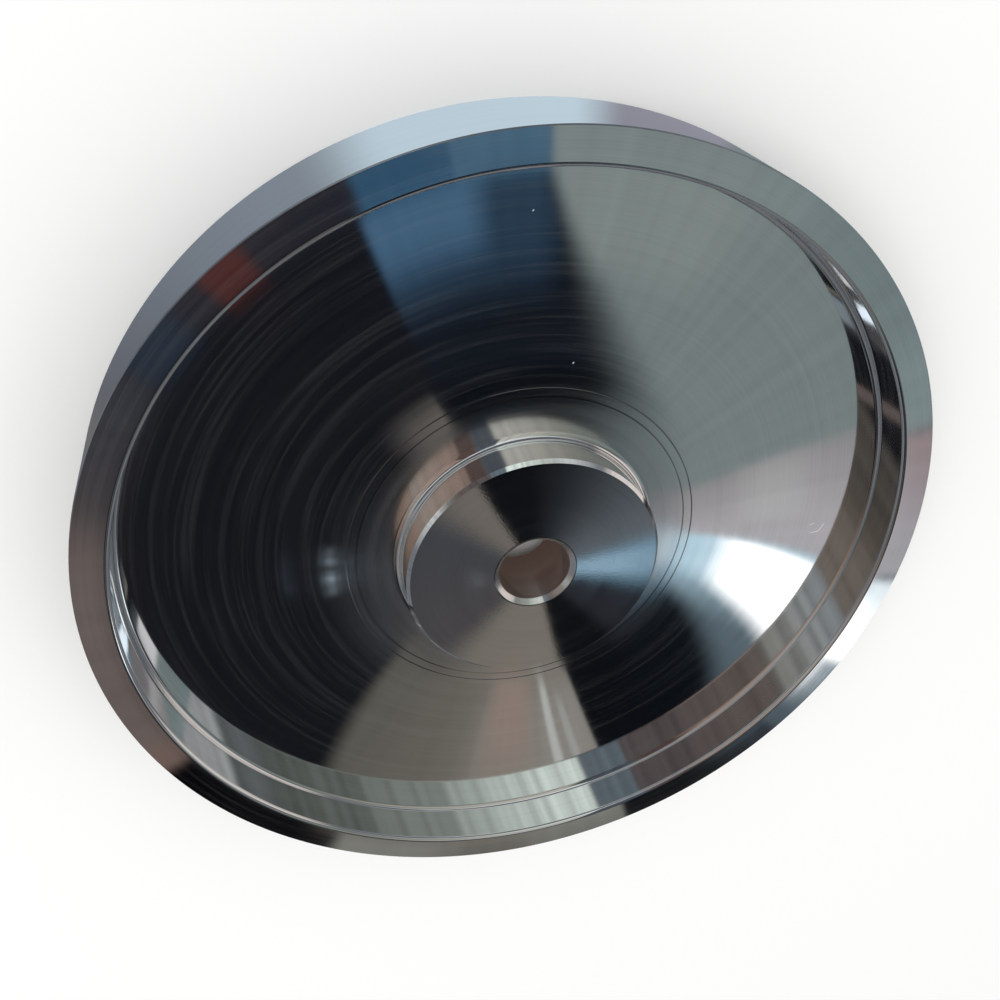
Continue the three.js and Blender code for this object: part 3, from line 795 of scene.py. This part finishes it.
disc_outline = [(SPIGOT_R + FIT_GAP, 0)]
for groove in GROOVE_RADII:
    disc_outline += [(groove - GROOVE_HALF_W, 0), (groove, GROOVE_DEPTH), (groove + GROOVE_HALF_W, 0)]
disc_outline += [
    (SEAT_R - FIT_GAP, 0), (SEAT_R - FIT_GAP, SEAT_H - FIT_GAP),
    (WALL_R - WALL_FILLET - FIT_GAP, SEAT_H - FIT_GAP), (WALL_R - WALL_FILLET - FIT_GAP, WEB_TOP),
    (WITNESS_R + WITNESS_HALF_W + LEAD, WEB_TOP), (WITNESS_R + WITNESS_HALF_W, WEB_TOP),
    (WITNESS_R, WEB_TOP - WITNESS_DEPTH),
    (WITNESS_R - WITNESS_HALF_W, WEB_TOP), (WITNESS_R - WITNESS_HALF_W - LEAD, WEB_TOP),
    (FLANGE_R + FIT_GAP, WEB_TOP), (FLANGE_R + FIT_GAP, FLANGE_BOTTOM - FIT_GAP),
    (SPIGOT_R + FIT_GAP, FLANGE_BOTTOM - FIT_GAP)]
place(lathe("web_disc_turned", disc_outline, WHEEL_STEPS), turned, "turned_steel", "wheel", "web_disc")

pocket_r = BRG_OUTER_R + FIT_GAP
hub_outline = (
    [(pocket_r + POCKET_CHAMFER, 0), (SPIGOT_R, 0), (SPIGOT_R, FLANGE_BOTTOM),
     (FLANGE_R, FLANGE_BOTTOM), (FLANGE_R, WEB_TOP)]
    + arc(BOSS_R + BOSS_FILLET, WEB_TOP + BOSS_FILLET, BOSS_FILLET, -90, -180)
    + [(BOSS_R, BOSS_TOP - BOSS_CHAMFER), (BOSS_R - BOSS_CHAMFER, BOSS_TOP), (NOSE_HOLE_R, BOSS_TOP),
       (NOSE_HOLE_R, LIP_BOTTOM), (RELIEF_R, LIP_BOTTOM), (RELIEF_R, BRG_TOP + FIT_GAP),
       (pocket_r, BRG_TOP + FIT_GAP), (pocket_r, BRG_BOTTOM), (BORE_GROOVE_R, BRG_BOTTOM),
       (BORE_GROOVE_R, BORE_CLIP_BOTTOM - FIT_GAP), (pocket_r, BORE_CLIP_BOTTOM - FIT_GAP),
       (pocket_r, POCKET_CHAMFER)])
place(lathe("hub_turned", hub_outline, WHEEL_STEPS), turned, "turned_steel", "wheel", "hub")

# ---------------------------------------------------------------- spindle sleeve
sleeve_outline = [
    (SLEEVE_BORE_R + SLEEVE_FOOT_CHAMFER, SLEEVE_BOTTOM),
    (SLEEVE_FLANGE_R - SLEEVE_FOOT_CHAMFER, SLEEVE_BOTTOM),
    (SLEEVE_FLANGE_R, SLEEVE_BOTTOM + SLEEVE_FOOT_CHAMFER), (SLEEVE_FLANGE_R, BRG_BOTTOM - FIT_GAP),
    (BRG_BORE_R, BRG_BOTTOM - FIT_GAP), (BRG_BORE_R, BRG_TOP), (SLEEVE_GROOVE_R, BRG_TOP),
    (SLEEVE_GROOVE_R, SLEEVE_CLIP_BOTTOM + SLEEVE_CLIP_T + FIT_GAP),
    (BRG_BORE_R, SLEEVE_CLIP_BOTTOM + SLEEVE_CLIP_T + FIT_GAP), (BRG_BORE_R, SLEEVE_NOSE_BOTTOM),
    (SLEEVE_NOSE_R, SLEEVE_NOSE_BOTTOM), (SLEEVE_NOSE_R, BOSS_TOP),
    (SLEEVE_BORE_R + SLEEVE_MOUTH_CHAMFER, BOSS_TOP), (SLEEVE_BORE_R, BOSS_TOP - SLEEVE_MOUTH_CHAMFER),
    (SLEEVE_BORE_R, SLEEVE_BOTTOM + SLEEVE_FOOT_CHAMFER)]
place(lathe("spindle_sleeve_turned", sleeve_outline, BEARING_STEPS), sleeve_metal, "sleeve_steel",
      "sleeve", "spindle_sleeve")

# ---------------------------------------------------------------- bearing
def race(centre, shoulder, sense):
    """Raceway groove as outline points; sense is the way round the arc runs."""
    half = math.degrees(math.acos(abs(shoulder - centre) / RACE_R))
    middle = 0 if shoulder > centre else 180
    return arc(centre, BRG_MID, RACE_R, middle - sense * half, middle + sense * half, 16, 0, 0)


outer_ring_outline = (
    [(SHIELD_SEAT_R, BRG_BOTTOM), (BRG_OUTER_R, BRG_BOTTOM), (BRG_OUTER_R, BRG_TOP),
     (SHIELD_SEAT_R, BRG_TOP), (SHIELD_SEAT_R, BRG_TOP - SHIELD_SEAT_W),
     (OUTER_SHOULDER_R, BRG_TOP - SHIELD_SEAT_W)]
    + race(PITCH_R + BALL_R + RACE_GAP_OUTER - RACE_R, OUTER_SHOULDER_R, -1)
    + [(OUTER_SHOULDER_R, BRG_BOTTOM + SHIELD_SEAT_W), (SHIELD_SEAT_R, BRG_BOTTOM + SHIELD_SEAT_W)])
place(lathe("bearing_outer_ring_ground", outer_ring_outline, BEARING_STEPS), ground, "bearing_steel",
      "wheel", "bearing_outer_ring")

inner_ring_outline = (
    [(BRG_BORE_R + FIT_GAP, BRG_BOTTOM), (INNER_SHOULDER_R, BRG_BOTTOM)]
    + race(PITCH_R - BALL_R - RACE_GAP_INNER + RACE_R, INNER_SHOULDER_R, -1)
    + [(INNER_SHOULDER_R, BRG_TOP), (BRG_BORE_R + FIT_GAP, BRG_TOP)])
place(lathe("bearing_inner_ring_ground", inner_ring_outline, BEARING_STEPS), ground, "bearing_steel",
      "sleeve", "bearing_inner_ring")

for side_name, shield_z in (("lower", BRG_BOTTOM + SHIELD_INSET),
                            ("upper", BRG_TOP - SHIELD_INSET - SHIELD_T)):
    shield_outline = [
        (SHIELD_INNER_R, shield_z), (SHIELD_SEAT_R - FIT_GAP, shield_z),
        (SHIELD_SEAT_R - FIT_GAP, shield_z + SHIELD_T), (SHIELD_INNER_R, shield_z + SHIELD_T)]
    place(lathe(f"bearing_shield_{side_name}_pressed", shield_outline, BEARING_STEPS), ground,
          "bearing_steel", "wheel", f"bearing_shield_{side_name}")

for i in range(BALL_COUNT):
    turn = TAU * i / BALL_COUNT
    bm = bmesh.new()
    bmesh.ops.create_uvsphere(bm, u_segments=32, v_segments=16, radius=BALL_R * MM)
    centre = Vector((PITCH_R * math.cos(turn), PITCH_R * math.sin(turn), BRG_MID)) * MM
    bmesh.ops.translate(bm, verts=bm.verts, vec=centre)
    place(finish_mesh(f"bearing_ball_{i + 1:02d}_ground", bm), ground, "bearing_steel", "ball_cage",
          f"bearing_ball_{i + 1:02d}")

for node, look in (("bearing_cage", brass), ("sleeve_circlip", spring), ("bore_circlip", spring)):
    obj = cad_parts[node]
    obj.data.materials.clear()
    obj.data.materials.append(look)
    edge = obj.modifiers.new("edge", "BEVEL")
    edge.width = CLIP_EDGE * MM
    edge.segments = 2
    edge.limit_method = "ANGLE"
    edge.angle_limit = math.radians(CLIP_EDGE_ANGLE)

add_floor()
add_world()
add_light("key", (-0.7, 0.5, 1.1), 0.9, 5.0)
add_light("fill", (0.9, -0.6, 1.0), 1.2, 2.0)
add_camera()
bpy.context.scene.view_settings.view_transform = "Standard"
